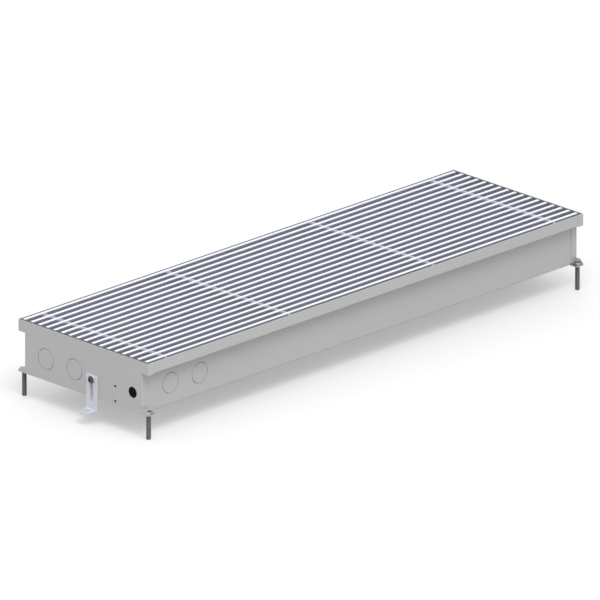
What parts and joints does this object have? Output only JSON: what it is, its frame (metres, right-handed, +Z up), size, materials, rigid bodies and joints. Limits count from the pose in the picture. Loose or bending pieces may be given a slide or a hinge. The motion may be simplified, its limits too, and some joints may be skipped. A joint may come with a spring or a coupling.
{
  "type": "trench convector heater",
  "caption": "Floor trench convector: stepped sheet-steel tray on levelling screws, finned heat exchanger inside, lift-off linear aluminium grille on top.",
  "frame": {"origin": "on the floor below the middle of the tray", "axes": "+X along the tray, away from the end with the pipe connections; +Y across it, towards the side that the exchanger is near; +Z up"},
  "size_m": [1.05, 0.3, 0.133],
  "materials": {
    "tray_steel": "fine matt grey",
    "zinc_steel": "bright zinc plate",
    "lug_steel": "plain satin steel",
    "bolt_steel": "polished plate",
    "screw_steel": "dark satin thread",
    "grille_aluminium": "natural satin anodised",
    "fin_aluminium": "mill finish",
    "copper_tube": "drawn copper",
    "brass_fitting": "machined brass",
    "black_rubber": "matt"
  },
  "bodies": {
    "tray": {"trough": "tray_steel", "end_panel_left": "tray_steel", "end_panel_right": "tray_steel", "cross_struts": "tray_steel", "strut_pads": "black_rubber", "ledge_strips": "black_rubber", "levelling_lugs": "lug_steel", "lug_nuts": "lug_steel", "bracket_bolts": "bolt_steel", "bracket_washers": "zinc_steel", "bracket_nuts": "zinc_steel", "exchanger_fins": "fin_aluminium", "exchanger_tubes": "copper_tube", "return_bends": "copper_tube", "exchanger_end_plates": "zinc_steel", "foot_studs": "zinc_steel", "foot_nuts": "zinc_steel", "supply_socket": "brass_fitting", "return_socket": "brass_fitting", "air_baffle": "tray_steel"},
    "grille": {"grille_bars": "grille_aluminium", "grille_rods": "grille_aluminium", "grille_spacers": "grille_aluminium"},
    "levelling_screw_1": {"levelling_screw_1": "screw_steel"},
    "levelling_screw_2": {"levelling_screw_2": "screw_steel"},
    "levelling_screw_3": {"levelling_screw_3": "screw_steel"},
    "levelling_screw_4": {"levelling_screw_4": "screw_steel"},
    "floor_bracket_left": {"floor_bracket_left": "zinc_steel"},
    "floor_bracket_right": {"floor_bracket_right": "zinc_steel"},
    "vent_screw": {"vent_screw": "zinc_steel"}
  },
  "joints": [
    {"name": "grille_lift", "type": "slide", "parent": "tray", "child": "grille", "axis": [0, 0, 1], "range_m": [0, 0.06]},
    {"name": "levelling_1", "type": "slide", "parent": "tray", "child": "levelling_screw_1", "axis": [0, 0, 1], "range_m": [0, 0.025]},
    {"name": "levelling_2", "type": "slide", "parent": "tray", "child": "levelling_screw_2", "axis": [0, 0, 1], "range_m": [0, 0.025]},
    {"name": "levelling_3", "type": "slide", "parent": "tray", "child": "levelling_screw_3", "axis": [0, 0, 1], "range_m": [0, 0.025]},
    {"name": "levelling_4", "type": "slide", "parent": "tray", "child": "levelling_screw_4", "axis": [0, 0, 1], "range_m": [0, 0.025]},
    {"name": "bracket_left_height", "type": "slide", "parent": "tray", "child": "floor_bracket_left", "axis": [0, 0, 1], "range_m": [0, 0.034]},
    {"name": "bracket_right_height", "type": "slide", "parent": "tray", "child": "floor_bracket_right", "axis": [0, 0, 1], "range_m": [0, 0.034]},
    {"name": "bleed_turn", "type": "hinge", "parent": "tray", "child": "vent_screw", "pos_m": [-0.339, 0.02, 0.09], "axis": [0, 0, 1], "range_deg": [0, 360]}
  ]
}
